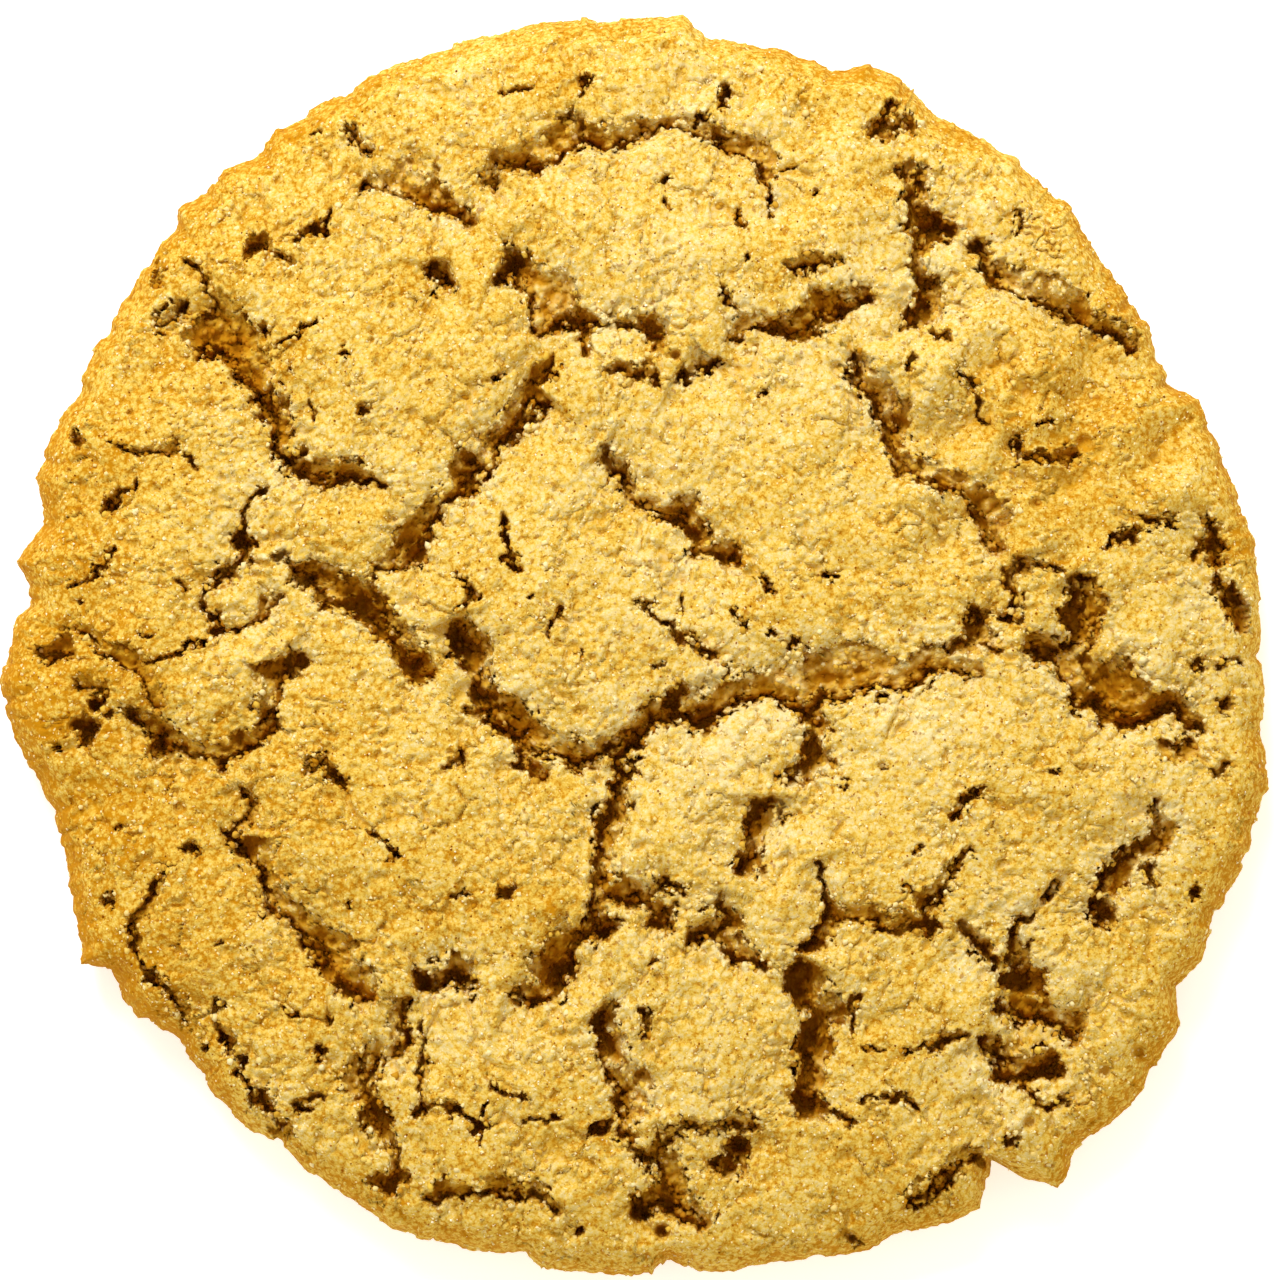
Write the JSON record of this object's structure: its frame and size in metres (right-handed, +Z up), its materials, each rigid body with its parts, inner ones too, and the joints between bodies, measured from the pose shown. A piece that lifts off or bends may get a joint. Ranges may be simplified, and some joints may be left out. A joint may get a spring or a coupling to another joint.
{
  "type": "lemon cookie",
  "caption": "Round golden baked cookie with a domed, cracked crust of raised plates, an uneven rim and a flat underside.",
  "frame": {"origin": "under the middle of the outline, on the surface that the cookie stands on", "axes": "+Z up through the thickness; +X to the right and +Y to the top of the cookie as seen from above"},
  "size_m": [0.0886, 0.0883, 0.0122],
  "materials": {
    "crust": "matte, crumbly baked crust"
  },
  "bodies": {
    "root": {"cookie": "crust"}
  },
  "joints": []
}
